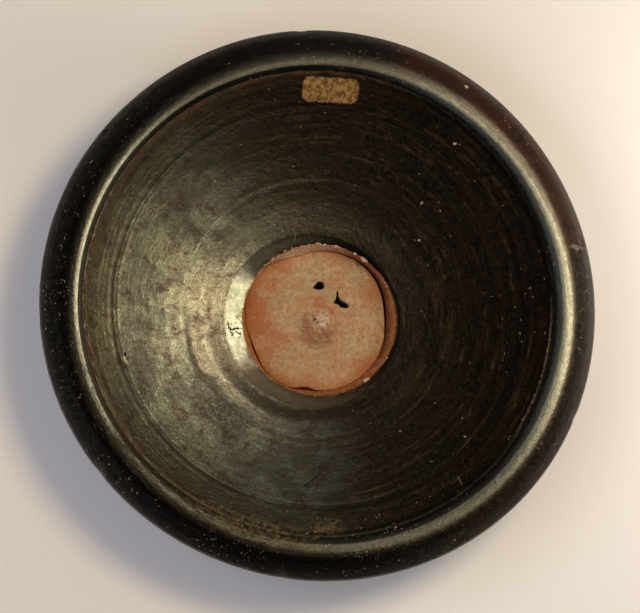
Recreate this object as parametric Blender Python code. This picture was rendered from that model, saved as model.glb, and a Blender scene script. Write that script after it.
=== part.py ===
"""A black-gloss plate on a ring foot, with a loose disc of bare clay in the opening of its floor.

Metres, +Z up. The origin is on the table, under the middle of the plate.
The plate is built as rings, one above another, in the order of its cross-section: up the wall of the
opening, out along the bowl, over the rim, back under it, and down round the foot.
"""

import collections
import math

import bmesh
import bpy

# Driving dimensions of the floor disc and the opening it lies in
DISC_RADIUS = 0.0330
DISC_LOBE = 0.0005
DISC_THICKNESS = 0.0040
DISC_EDGE_ROUNDING = 0.0009
SEAT_CLEARANCE = 0.0004
REST_GAP = 0.0003
LEDGE_WIDTH = 0.0050
LEDGE_THICKNESS = 0.0030
WELL_DEPTH = 0.0055
WELL_FLARE = 0.0003
LIP_ROUNDING = 0.0005
BEVEL_WIDTH = 0.0047
BEVEL_DROP = 0.0010

# Driving dimensions of the bowl and the rim
RIM_RADIUS = 0.1250
RIM_WIDTH = 0.0197
WALL = 0.0060
BOWL_DEPTH = 0.0258
BOWL_INNER_SLOPE = 16
GROOVE_WIDTH = 0.0009
GROOVE_DEPTH = 0.0007
CREST_INNER_ROLL = 0.0055
CREST_INNER_ANGLE = 45
CREST_OUTER_ROLL = 0.0080
FACE_TOP_ANGLE = 28
FACE_FOOT_ANGLE = 47
EDGE_ROLL = 0.0022
EDGE_END_ANGLE = 205
RECESS_SET_OUT = 0.0055
RECESS_ROUNDING = 0.0030
TURNING_LINE_SET_IN = 0.0139
TURNING_LINE_WIDTH = 0.0022
TURNING_LINE_DEPTH = 0.0004

# Driving dimensions of the foot and the underside
FOOT_SET_OUT = 0.0111
FOOT_WIDTH = 0.0065
FOOT_FLARE = 0.0015
FOOT_BAND = 0.0040
FOOT_EDGE = 0.0008
FOOT_ROOT = 0.0025
UNDERSIDE_CLEARANCE = 0.0052
UNDERSIDE_RISE = 0.0040

# How far the hand-made plate is from true: an oval, three lobes, and features off its axis
OVAL_SHARE = 0.0063
OVAL_ANGLE = 105
LOBE_SHARE = 0.0042
LOBE_ANGLE = 195
BOWL_CENTRE = (0.0, -0.0006)
SEAT_CENTRE = (0.0003, -0.0013)
LIP_CENTRE = (0.0020, -0.0024)
BEVEL_SHIFT_SHARE = 0.75
BEVEL_SHIFT_ANGLE = 188

# The disc's broken edge: (angle, depth, half width in degrees) of each bite out of it
DISC_BITES = (
    (2, 0.0006, 16),
    (105, 0.0027, 14),
    (208, 0.0018, 24),
    (261, 0.0018, 9),
)

# The knob of clay left at the disc's middle by the wheel
KNOB_CENTRE = (0.0024, 0.0003)
KNOB_RADIUS = 0.0066
KNOB_HEIGHT = 0.0013
KNOB_DIMPLE = 0.0003

# The two holes pierced through the disc, as tapered slots:
# (start, end, radius at the start, radius at the end), from the disc's middle
ROUND_HOLE = ((0.0006, 0.0165), (0.0026, 0.0172), 0.0011, 0.0017)
CRACK_HOLE = ((0.0105, 0.0135), (0.0109, 0.0103), 0.0006, 0.0011)
TORN_HOLE = ((0.0105, 0.0095), (0.0146, 0.0077), 0.0014, 0.0011)

# How finely the round shapes are cut into facets
SEGMENTS = 72
SLOT_STEPS = 6
SHARP_ANGLE = 35

# Heights and radii that follow from the driving dimensions
LEDGE_HEIGHT = UNDERSIDE_CLEARANCE + LEDGE_THICKNESS
DISC_HEIGHT = LEDGE_HEIGHT + REST_GAP
DISC_TOP = DISC_HEIGHT + DISC_THICKNESS
LIP_HEIGHT = DISC_TOP + WELL_DEPTH
BEVEL_HEIGHT = LIP_HEIGHT + BEVEL_DROP
GROOVE_HEIGHT = BEVEL_HEIGHT + BOWL_DEPTH
SEAT_RADIUS = DISC_RADIUS + DISC_LOBE + SEAT_CLEARANCE
LIP_RADIUS = SEAT_RADIUS + WELL_FLARE
BEVEL_RADIUS = LIP_RADIUS + BEVEL_WIDTH
LEDGE_RADIUS = DISC_RADIUS - LEDGE_WIDTH
FOOT_INNER = SEAT_RADIUS + FOOT_SET_OUT
FOOT_OUTER = FOOT_INNER + FOOT_WIDTH
GROOVE_RADIUS = RIM_RADIUS - RIM_WIDTH
CREST_RADIUS = GROOVE_RADIUS + CREST_INNER_ROLL * math.sin(math.radians(CREST_INNER_ANGLE))

Ring = collections.namedtuple("Ring", "radius height centre")


def clear_scene():
    for obj in list(bpy.data.objects):
        bpy.data.objects.remove(obj, do_unlink=True)


def fired_clay(name, colour, roughness):
    """A Principled material of one colour."""
    material = bpy.data.materials.new(name)
    material.use_nodes = True
    shader = material.node_tree.nodes["Principled BSDF"]
    shader.inputs["Base Color"].default_value = (*colour, 1)
    shader.inputs["Roughness"].default_value = roughness
    shader.inputs["Metallic"].default_value = 0
    return material


def along(start, end, share):
    """The point that far from start towards end."""
    return tuple(a + (b - a) * share for a, b in zip(start, end))


def arc(centre, radius, start, end, steps):
    """Points of an arc in the cross-section. Its angles are in degrees from straight up, turning outwards."""
    points = []
    for step in range(steps + 1):
        angle = math.radians(start + (end - start) * step / steps)
        points.append((centre[0] + radius * math.sin(angle), centre[1] + radius * math.cos(angle)))
    return points


def arc_end_centre(centre, radius, angle, next_radius):
    """The centre of an arc of next_radius that carries on smoothly from another arc's end."""
    turned = math.radians(angle)
    step = radius - next_radius
    return (centre[0] + step * math.sin(turned), centre[1] + step * math.cos(turned))


def rounded(before, corner, after, rounding, steps=2):
    """The corner as a curve that starts and ends the rounding's length away, or nearer where a side is short."""
    cut = min(rounding, 0.45 * math.dist(before, corner), 0.45 * math.dist(corner, after))
    start = along(corner, before, cut / math.dist(before, corner))
    end = along(corner, after, cut / math.dist(corner, after))
    points = []
    for step in range(steps + 1):
        share = step / steps
        points.append(along(along(start, corner, share), along(corner, end, share), share))
    return points


def bowl_slope_ends():
    """The bowl's rise for each metre outwards, at its inner and outer end."""
    inner = math.tan(math.radians(BOWL_INNER_SLOPE))
    return inner, 2 * BOWL_DEPTH / (GROOVE_RADIUS - BEVEL_RADIUS) - inner


def bowl_slope(radius):
    inner, outer = bowl_slope_ends()
    return inner + (outer - inner) * (radius - BEVEL_RADIUS) / (GROOVE_RADIUS - BEVEL_RADIUS)


def bowl_height(radius):
    """The bowl's surface, a parabola that steepens from the opening out to the groove."""
    reach = radius - BEVEL_RADIUS
    return BEVEL_HEIGHT + reach * (bowl_slope_ends()[0] + bowl_slope(radius)) / 2


def wall_underside(radius):
    """The outside of the wall, its thickness below the bowl's surface."""
    return bowl_height(radius) - WALL * math.hypot(1, bowl_slope(radius))


def well_rings():
    """Rings up the wall of the opening, from the ledge under the disc to the bevel round the lip."""
    seat = SEAT_CENTRE
    rings = [Ring(LEDGE_RADIUS, UNDERSIDE_CLEARANCE, seat), Ring(LEDGE_RADIUS, LEDGE_HEIGHT, seat)]
    rings += [Ring(SEAT_RADIUS, LEDGE_HEIGHT, seat), Ring(SEAT_RADIUS, DISC_TOP, seat)]
    rings += [Ring(LIP_RADIUS, LIP_HEIGHT - LIP_ROUNDING, LIP_CENTRE)]
    rings += [Ring(LIP_RADIUS + LIP_ROUNDING, LIP_HEIGHT, LIP_CENTRE)]
    shift = BEVEL_SHIFT_SHARE * BEVEL_WIDTH
    turned = math.radians(BEVEL_SHIFT_ANGLE)
    centre = (LIP_CENTRE[0] + shift * math.cos(turned), LIP_CENTRE[1] + shift * math.sin(turned))
    rings += [Ring(BEVEL_RADIUS, BEVEL_HEIGHT, centre)]
    return rings


def bowl_outline():
    """The bowl's surface out to the groove, with the turning line that the potter cut in it."""
    line = GROOVE_RADIUS - TURNING_LINE_SET_IN
    line_start = line - TURNING_LINE_WIDTH / 2
    line_end = line + TURNING_LINE_WIDTH / 2
    inner_steps, outer_steps = 7, 3
    points = []
    for step in range(1, inner_steps + 1):
        radius = BEVEL_RADIUS + (line_start - BEVEL_RADIUS) * step / inner_steps
        points.append((radius, bowl_height(radius)))
    points.append((line, bowl_height(line) - TURNING_LINE_DEPTH))
    groove_start = GROOVE_RADIUS - GROOVE_WIDTH
    for step in range(outer_steps + 1):
        radius = line_end + (groove_start - line_end) * step / outer_steps
        points.append((radius, bowl_height(radius)))
    points.append((GROOVE_RADIUS - GROOVE_WIDTH / 3, bowl_height(GROOVE_RADIUS) - GROOVE_DEPTH))
    return points


def rim_outline():
    """The rim: a roll along its crest, a long falling face and a rounded edge that hangs clear of the wall."""
    rise = math.radians(CREST_INNER_ANGLE)
    roll_height = GROOVE_HEIGHT + GROOVE_DEPTH - CREST_INNER_ROLL * math.cos(rise)
    inner = (CREST_RADIUS, roll_height)
    outer = arc_end_centre(inner, CREST_INNER_ROLL, 0, CREST_OUTER_ROLL)
    top, foot = math.radians(FACE_TOP_ANGLE), math.radians(FACE_FOOT_ANGLE)
    face_start = CREST_RADIUS + CREST_OUTER_ROLL * math.sin(top)
    face_end = RIM_RADIUS - EDGE_ROLL * (1 - math.sin(foot))
    face_roll = (face_end - face_start) / (math.sin(foot) - math.sin(top))
    face = arc_end_centre(outer, CREST_OUTER_ROLL, FACE_TOP_ANGLE, face_roll)
    edge = arc_end_centre(face, face_roll, FACE_FOOT_ANGLE, EDGE_ROLL)
    points = arc(inner, CREST_INNER_ROLL, -CREST_INNER_ANGLE, 0, 3)
    points += arc(outer, CREST_OUTER_ROLL, 0, FACE_TOP_ANGLE, 3)[1:]
    points += arc(face, face_roll, FACE_TOP_ANGLE, FACE_FOOT_ANGLE, 4)[1:]
    points += arc(edge, EDGE_ROLL, FACE_FOOT_ANGLE, EDGE_END_ANGLE, 5)[1:]
    return points


def outside_outline(rim_end):
    """The outside of the wall, from the recess under the rim in to the foot."""
    recess_radius = GROOVE_RADIUS + RECESS_SET_OUT
    recess = (recess_radius, wall_underside(recess_radius))
    neck_radius = FOOT_OUTER - FOOT_FLARE
    steps = 7
    wall = []
    for step in range(1, steps + 1):
        radius = recess_radius + (neck_radius - recess_radius) * step / steps
        wall.append((radius, wall_underside(radius)))
    band = (FOOT_OUTER, FOOT_BAND)
    points = rounded(rim_end, recess, wall[0], RECESS_ROUNDING)
    points += wall[:-1]
    points += rounded(wall[-2], wall[-1], band, FOOT_ROOT)
    return points


def foot_outline():
    """The ring foot, with its flat resting face, and the hollow inside it in to the ledge."""
    band = (FOOT_OUTER, FOOT_BAND)
    outer_corner = (FOOT_OUTER, 0.0)
    inner_corner = (FOOT_INNER, 0.0)
    root = (FOOT_INNER, UNDERSIDE_CLEARANCE + UNDERSIDE_RISE)
    hollow = []
    for share in (0.7, 0.4):
        radius = SEAT_RADIUS + (FOOT_INNER - SEAT_RADIUS) * share
        hollow.append((radius, UNDERSIDE_CLEARANCE + UNDERSIDE_RISE * share**2))
    points = [band]
    points += rounded(band, outer_corner, inner_corner, FOOT_EDGE, 1)
    points += rounded(outer_corner, inner_corner, root, FOOT_EDGE, 1)
    points += rounded(inner_corner, root, hollow[0], FOOT_ROOT)
    points += hollow
    return points


def centre_at(radius):
    """The middle of the bowl and foot, which the rim's face leaves to end true about the origin at its edge."""
    share = 1 - max(0, radius - CREST_RADIUS) / (RIM_RADIUS - CREST_RADIUS)
    return (BOWL_CENTRE[0] * share, BOWL_CENTRE[1] * share)


def plate_rings():
    outline = bowl_outline() + rim_outline()
    outline += outside_outline(outline[-1])
    outline += foot_outline()
    return well_rings() + [Ring(radius, height, centre_at(radius)) for radius, height in outline]


def warped(x, y):
    """A point of the plate moved as the clay sagged while it dried, most at the rim and not at all at the axis."""
    angle = math.atan2(y, x)
    share = (math.hypot(x, y) / RIM_RADIUS) ** 2
    oval = OVAL_SHARE * math.cos(2 * (angle - math.radians(OVAL_ANGLE)))
    lobes = LOBE_SHARE * math.cos(3 * (angle - math.radians(LOBE_ANGLE)))
    scale = 1 + share * (oval + lobes)
    return x * scale, y * scale


def ring_of_vertices(work, ring, radius_at=None):
    """One vertex for each segment. radius_at(angle), where it is given, scales the ring's radius."""
    vertices = []
    for segment in range(SEGMENTS):
        angle = 2 * math.pi * segment / SEGMENTS
        radius = ring.radius * (radius_at(angle) if radius_at else 1)
        x = ring.centre[0] + radius * math.cos(angle)
        y = ring.centre[1] + radius * math.sin(angle)
        vertices.append(work.verts.new((x, y, ring.height)))
    return vertices


def join_rings(work, lower, upper):
    for first in range(SEGMENTS):
        second = (first + 1) % SEGMENTS
        work.faces.new((lower[first], lower[second], upper[second], upper[first]))


def close_ring(work, ring, vertices):
    """A fan of faces from the ring in to the point at its middle."""
    middle = work.verts.new((*ring.centre, ring.height))
    for first in range(SEGMENTS):
        work.faces.new((vertices[first], vertices[(first + 1) % SEGMENTS], middle))


def finish_object(work, name, material):
    bmesh.ops.recalc_face_normals(work, faces=work.faces)
    mesh = bpy.data.meshes.new(name)
    work.to_mesh(mesh)
    work.free()
    mesh.shade_smooth()
    mesh.set_sharp_from_angle(angle=math.radians(SHARP_ANGLE))
    mesh.materials.append(material)
    obj = bpy.data.objects.new(name, mesh)
    bpy.context.collection.objects.link(obj)
    return obj


def make_plate():
    work = bmesh.new()
    loops = [ring_of_vertices(work, ring) for ring in plate_rings()]
    for lower, upper in zip(loops, loops[1:] + loops[:1]):
        join_rings(work, lower, upper)
    for vertex in work.verts:
        vertex.co.x, vertex.co.y = warped(vertex.co.x, vertex.co.y)
    return finish_object(work, "plate", fired_clay("black_gloss", (0.022, 0.019, 0.015), 0.3))


def disc_edge(angle):
    """The disc's outline as a share of its radius: four soft lobes, less the bites out of its edge."""
    radius = DISC_RADIUS + DISC_LOBE * math.cos(4 * (angle - math.radians(45)))
    for bite_angle, depth, half_width in DISC_BITES:
        away = (math.degrees(angle) - bite_angle + 180) % 360 - 180
        radius -= depth * math.exp(-((away / half_width) ** 2))
    return radius / DISC_RADIUS


def knob_rings():
    """The knob at the disc's middle, from its foot to the ring round its dimple."""
    centre = (SEAT_CENTRE[0] + KNOB_CENTRE[0], SEAT_CENTRE[1] + KNOB_CENTRE[1])
    steps = 3
    rings = []
    for step in range(steps + 1):
        turn = math.pi / 2 * step / steps
        radius = KNOB_RADIUS * (1 - 0.75 * step / steps)
        rings.append(Ring(radius, DISC_TOP + KNOB_HEIGHT * math.sin(turn), centre))
    return rings


def make_disc():
    work = bmesh.new()
    edge_height = DISC_TOP - DISC_EDGE_ROUNDING
    bottom = Ring(DISC_RADIUS, DISC_HEIGHT, SEAT_CENTRE)
    rounding = Ring(DISC_RADIUS, edge_height, SEAT_CENTRE)
    top = Ring(DISC_RADIUS - DISC_EDGE_ROUNDING, DISC_TOP, SEAT_CENTRE)
    middle = Ring(DISC_RADIUS / 2, DISC_TOP, SEAT_CENTRE)
    loops = [ring_of_vertices(work, ring, disc_edge) for ring in (bottom, rounding, top, middle)]
    knob = knob_rings()
    loops += [ring_of_vertices(work, ring) for ring in knob]
    for lower, upper in zip(loops, loops[1:]):
        join_rings(work, lower, upper)
    close_ring(work, bottom, loops[0])
    dimple = knob[-1]._replace(height=knob[-1].height - KNOB_DIMPLE)
    close_ring(work, dimple, loops[-1])
    disc = finish_object(work, "centre_disc", fired_clay("bare_clay", (0.42, 0.19, 0.085), 0.85))
    for name, slot in (("round_hole", ROUND_HOLE), ("crack_hole", CRACK_HOLE), ("torn_hole", TORN_HOLE)):
        cut = disc.modifiers.new(name, "BOOLEAN")
        cut.operation = "DIFFERENCE"
        cut.solver = "EXACT"
        cut.object = make_hole_cutter(name + "_cutter", slot)
    return disc


def slot_outline(slot):
    """The outline of a tapered slot: half a circle round each end."""
    start, end, start_radius, end_radius = slot
    heading = math.atan2(end[1] - start[1], end[0] - start[0])
    points = []
    for centre, radius, first in ((end, end_radius, -90), (start, start_radius, 90)):
        for step in range(SLOT_STEPS + 1):
            angle = heading + math.radians(first + 180 * step / SLOT_STEPS)
            points.append((centre[0] + radius * math.cos(angle), centre[1] + radius * math.sin(angle)))
    return points


def make_hole_cutter(name, slot):
    """A prism on the slot's outline, taller than the disc and its knob."""
    work = bmesh.new()
    spare = KNOB_HEIGHT + DISC_THICKNESS / 2
    floor = DISC_HEIGHT - spare
    outline = []
    for x, y in slot_outline(slot):
        outline.append(work.verts.new((SEAT_CENTRE[0] + x, SEAT_CENTRE[1] + y, floor)))
    base = work.faces.new(outline)
    raised = bmesh.ops.extrude_face_region(work, geom=[base])["geom"]
    vertices = [item for item in raised if isinstance(item, bmesh.types.BMVert)]
    bmesh.ops.translate(work, vec=(0, 0, DISC_THICKNESS + 2 * spare), verts=vertices)
    cutter = finish_object(work, name, bpy.data.materials["bare_clay"])
    cutter.hide_render = True
    cutter.display_type = "WIRE"
    return cutter


clear_scene()
make_plate()
make_disc()
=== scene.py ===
"""The finish of a black-gloss pottery plate with a loose disc of bare clay in the opening of its floor.

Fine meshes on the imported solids' cross-sections stand for them. They carry the turning marks, the wear
and the broken edges. Procedural materials give the fired slip, the bare clay and the lime crust.
Metres, +Z up. Angles are in degrees, anticlockwise from +X as seen from above.
"""

import math

import bmesh
import bpy
import numpy as np
from mathutils import Matrix, Vector, noise


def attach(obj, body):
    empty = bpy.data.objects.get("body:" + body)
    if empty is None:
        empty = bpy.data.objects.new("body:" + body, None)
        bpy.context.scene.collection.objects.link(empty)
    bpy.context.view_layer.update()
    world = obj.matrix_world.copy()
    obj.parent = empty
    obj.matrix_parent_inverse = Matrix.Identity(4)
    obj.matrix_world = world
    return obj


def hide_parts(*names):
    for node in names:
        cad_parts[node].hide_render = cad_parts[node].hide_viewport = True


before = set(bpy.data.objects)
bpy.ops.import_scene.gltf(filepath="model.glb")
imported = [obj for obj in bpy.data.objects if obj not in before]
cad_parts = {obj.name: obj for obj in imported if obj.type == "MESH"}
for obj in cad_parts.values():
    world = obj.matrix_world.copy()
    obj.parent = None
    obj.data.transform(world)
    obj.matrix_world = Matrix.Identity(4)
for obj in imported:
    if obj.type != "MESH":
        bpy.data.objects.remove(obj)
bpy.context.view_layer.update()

MM = 0.001

# The disc and the opening that it lies in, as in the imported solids
DISC_RADIUS = 33.0 * MM
DISC_THICKNESS = 4.0 * MM
SEAT_RADIUS = 33.9 * MM
LEDGE_RADIUS = 28.0 * MM
LEDGE_THICKNESS = 3.0 * MM
UNDERSIDE_CLEARANCE = 5.2 * MM
REST_GAP = 0.3 * MM
WELL_DEPTH = 5.5 * MM
LIP_RADIUS = 34.2 * MM
LIP_ROUNDING = 0.5 * MM
BEVEL_RADIUS = 38.9 * MM
BEVEL_DROP = 1.0 * MM

DISC_EDGE_ROUNDING = 0.45 * MM
DISC_LOBE = 0.5 * MM
DISC_BASE_GAP = 0.07 * MM

# The disc's bites, and where the crack round it is wider: angle, depth in mm, half width in degrees
DISC_BITES = ((4, 1.0, 22), (109, 2.5, 19), (175, 0.5, 9), (204, 2.7, 22), (262, 1.5, 8), (318, 0.6, 20))
CRACK_WIDENINGS = ((22, 0.75, 34), (208, 0.6, 11), (262, 1.4, 8))

# The torn holes in the disc, as rounded outlines in mm from its centre
ROUND_HOLE = ((-0.6, 14.8), (0.3, 16.4), (1.9, 17.8), (3.8, 17.4), (4.4, 15.8), (3.7, 14.4), (1.4, 14.1))
TORN_HOLE = (
    (9.8, 12.9),
    (10.7, 12.4),
    (10.9, 10.4),
    (12.6, 9.0),
    (15.5, 6.9),
    (14.3, 5.7),
    (11.9, 6.0),
    (10.6, 7.1),
    (8.7, 8.2),
    (9.8, 10.4),
)

# The knob at the disc's middle and the mound that it stands on: centre from the disc's, radius, height, in mm
KNOB = ((3.3, 0.3), 4.0, 1.2)
MOUND = ((2.2, -2.8), 8.0, 0.5)

# A pit beside the knob: centre from the disc's, radius and depth, in mm
PIT = ((1.7, -0.7), 0.8, 0.15)

# Arcs scraped round the mound, with the radius and depth of each, and the turning marks' spacing, in mm
SCRAPED_ARCS = ((4.6, 0.24), (6.1, 0.30), (7.9, 0.22), (9.6, 0.10))
DISC_MARK_SPACING = 2.7

# The middles of a dark ring round the knob and of the lighter ground inside it, in mm from the disc's
DARK_RING = (1.09, -4.06)
DARK_RING_INSIDE = (3.01, 1.09)

# The bowl, the rim and the foot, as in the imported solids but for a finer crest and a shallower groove
RIM_RADIUS = 125.0 * MM
GROOVE_RADIUS = 105.3 * MM
BOWL_DEPTH = 25.8 * MM
BOWL_INNER_SLOPE = 16
WALL = 6.0 * MM
GROOVE_WIDTH = 0.9 * MM
GROOVE_DEPTH = 0.15 * MM
CREST_RADIUS = 111.0 * MM
CREST_HEIGHT = 47.1 * MM
CREST_ROLL = 11.5 * MM
FLANK_ROLL = 12.8 * MM
FLANK_FOOT_ANGLE = -42
FLANK_TOP_ANGLE = -28
CREASE_ROLL = 1.2 * MM
CREASE_ANGLE = -10
FACE_TOP_ANGLE = 25
FACE_FOOT_ANGLE = 47
EDGE_ROLL = 2.2 * MM
EDGE_END_ANGLE = 205
RECESS_SET_OUT = 5.5 * MM
RECESS_ROUNDING = 3.0 * MM
FOOT_INNER = 45.0 * MM
FOOT_OUTER = 51.5 * MM
FOOT_FLARE = 1.5 * MM
FOOT_BAND = 4.0 * MM
FOOT_EDGE = 0.8 * MM
FOOT_ROOT = 2.5 * MM
UNDERSIDE_RISE = 4.0 * MM

# How far the plate is from true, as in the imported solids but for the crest's own centre
OVAL_SHARE, OVAL_ANGLE = 0.0063, 105
LOBE_SHARE, LOBE_ANGLE = 0.0042, 195
BOWL_CENTRE = (0.0, -0.6 * MM)
SEAT_CENTRE = (0.3 * MM, -1.3 * MM)
LIP_CENTRE = (2.0 * MM, -2.4 * MM)
BEVEL_CENTRE = (-1.49 * MM, -2.89 * MM)
BOWL_CENTRING = 12 * MM
CREST_CENTRE = (1.0 * MM, -1.7 * MM)

# Heights that follow
LEDGE_HEIGHT = UNDERSIDE_CLEARANCE + LEDGE_THICKNESS
DISC_HEIGHT = LEDGE_HEIGHT + REST_GAP
DISC_TOP = DISC_HEIGHT + DISC_THICKNESS
LIP_HEIGHT = DISC_TOP + WELL_DEPTH
BEVEL_HEIGHT = LIP_HEIGHT + BEVEL_DROP

# The fine mesh
SEGMENTS = 432
BOWL_RINGS = 92
WALL_RINGS = 17
DISC_SEGMENTS = 240
DISC_RINGS = 62

# Lumps of lime on the opening's lip: middle angle, half spread, how many, the largest one's radius in mm
LIP_LUMPS = (
    (104, 30, 44, 0.55),
    (84, 12, 14, 0.85),
    (56, 7, 9, 1.15),
    (22, 26, 30, 0.38),
    (307, 2, 5, 0.95),
    (330, 9, 9, 0.50),
    (226, 10, 9, 0.40),
)

# Single cream flecks in the slip: angle, then radius and size in mm
FLECKS = (
    (46.0, 68.5, 0.45),
    (35.2, 57.0, 0.5),
    (39.1, 72.1, 0.4),
    (50.1, 96.3, 0.6),
    (56.0, 119.9, 0.8),
    (196.6, 89.4, 0.25),
    (194.3, 88.6, 0.2),
    (110, 60, 0.35),
    (128, 74, 0.35),
    (318, 88, 0.35),
    (304, 66, 0.3),
)

# A chip through to the clay in the rim's face, in mm, and how much it is drawn in along x and y
RIM_CHIP = (115.65, 26.28)
CHIP_SIZE = 1.7
CHIP_STRETCH = (0.5, 1.6, 0)

# Scratches in the slip: start and end from the axis, and width, in mm
DARK_SCRATCHES = (
    ((-8.6, -83.1), (1.5, -74.9), 0.5),
    ((46.4, -40.6), (42.1, -35.7), 0.4),
    ((60.8, -77.8), (63.1, -82.8), 0.5),
    ((-86.6, -21.4), (-86.0, -24.2), 0.7),
    ((-85.0, -24.0), (-85.4, -26.0), 0.5),
    ((-39.6, -4.2), (-37.6, -7.9), 0.6),
    ((-38.2, -7.4), (-33.9, -6.4), 0.6),
    ((-37.9, -7.6), (-37.1, -10.4), 0.5),
    ((-36.2, -7.9), (-33.0, -9.2), 0.5),
)
LIGHT_SCRATCHES = (
    ((-8.3, 37.5), (-9.2, 33.2), 0.3),
    ((61.2, -77.8), (63.4, -82.8), 0.35),
)

# The bare patch inside the top of the bowl, in mm
PATCH_ENDS = ((-6.6, 98.6), (18.6, 97.2))
PATCH_HALF_HEIGHT = 5.2
PATCH_ROUNDING = 3.2

# Patches on the disc: place from its centre, size, in mm, and strength
ORANGE_PATCHES = (
    (-27.0, 6.0, 6.0, 0.75),
    (-25.5, -3.5, 6.0, 0.75),
    (-16.5, -9.0, 4.5, 0.5),
    (-19.5, 16.5, 4.0, 0.5),
    (-15.0, 24.5, 4.0, 0.6),
    (2.2, 8.8, 3.0, 0.6),
    (6.7, 4.8, 2.0, 0.8),
    (22.0, -21.5, 5.0, 0.7),
    (26.0, 12.0, 4.0, 0.4),
    (-2.0, -28.0, 4.0, 0.4),
    (-22.0, -16.0, 4.0, 0.5),
)
PALE_PATCHES = (
    (18.5, 25.5, 3.5, 0.9),
    (22.9, 20.5, 2.5, 0.8),
    (17.1, 8.7, 2.5, 0.9),
    (14.8, 15.2, 3.0, 0.5),
    (7.5, 24.0, 3.5, 0.6),
    (-4.0, 20.0, 5.0, 0.35),
    (-12.0, 0.0, 6.0, 0.3),
    (24.0, -3.0, 8.0, 0.5),
    (19.0, -13.0, 6.0, 0.4),
)

# The camera, fitted to the rings in the photograph
VIEW_TILT = 12.85
VIEW_TURN = 251.1
VIEW_DISTANCE = 5.0
PIXEL_SIZE = 0.4465 * MM
VIEW_CENTRE = (0.94 * MM, -0.1 * MM, 36 * MM)
PHOTO_WIDTH = 640
SENSOR_WIDTH = 36.0

FLOOR_REACH = 3.0

# Lights: name, turn, elevation, distance, size, power, colour, and what is unlit (gloss, the rest, nothing)
LIGHTS = (
    ("key", 25, 65, 2.3, 0.75, 14.6, "#ffecbe", "nothing"),
    ("reflector", 52, 62, 2.3, 0.6, 4.3, "#fff2dc", "rest"),
    ("side", 10, 24, 0.38, 0.16, 0.48, "#f2f5ff", "gloss"),
    ("fill", 205, 40, 1.5, 1.5, 10.6, "#e2e9ff", "gloss"),
    ("ceiling", 0, 90, 1.5, 3.0, 3.8, "#ffeeda", "gloss"),
)


def straight(start, end, steps):
    """Even steps from start, its first point, to just before end."""
    return [tuple(a + (b - a) * step / steps for a, b in zip(start, end)) for step in range(steps)]


def arc(centre, radius, start, end, steps):
    """Points of an arc, to just before its end. Its angles are from straight up, turning outwards."""
    turns = [math.radians(start + (end - start) * step / steps) for step in range(steps)]
    return [(centre[0] + radius * math.sin(turn), centre[1] + radius * math.cos(turn)) for turn in turns]


def arc_end_centre(centre, radius, angle, next_radius):
    """The centre of an arc of next_radius that carries on smoothly from another arc's end."""
    turned = math.radians(angle)
    step = radius - next_radius
    return (centre[0] + step * math.sin(turned), centre[1] + step * math.cos(turned))


def rounded(before, corner, after, rounding, steps):
    """The corner as a curve that starts and ends the rounding's length away."""
    start = Vector(corner) + (Vector(before) - Vector(corner)).normalized() * rounding
    end = Vector(corner) + (Vector(after) - Vector(corner)).normalized() * rounding
    points = []
    for step in range(steps + 1):
        share = step / steps
        points.append(tuple(start.lerp(Vector(corner), share).lerp(Vector(corner).lerp(end, share), share)))
    return points


def bowl_slope(radius):
    inner = math.tan(math.radians(BOWL_INNER_SLOPE))
    outer = 2 * BOWL_DEPTH / (GROOVE_RADIUS - BEVEL_RADIUS) - inner
    return inner + (outer - inner) * (radius - BEVEL_RADIUS) / (GROOVE_RADIUS - BEVEL_RADIUS)


def bowl_height(radius):
    """The bowl's surface, a parabola that steepens from the opening out to the groove."""
    reach = radius - BEVEL_RADIUS
    return BEVEL_HEIGHT + reach * (bowl_slope(BEVEL_RADIUS) + bowl_slope(radius)) / 2


def wall_underside(radius):
    return bowl_height(radius) - WALL * math.hypot(1, bowl_slope(radius))


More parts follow.
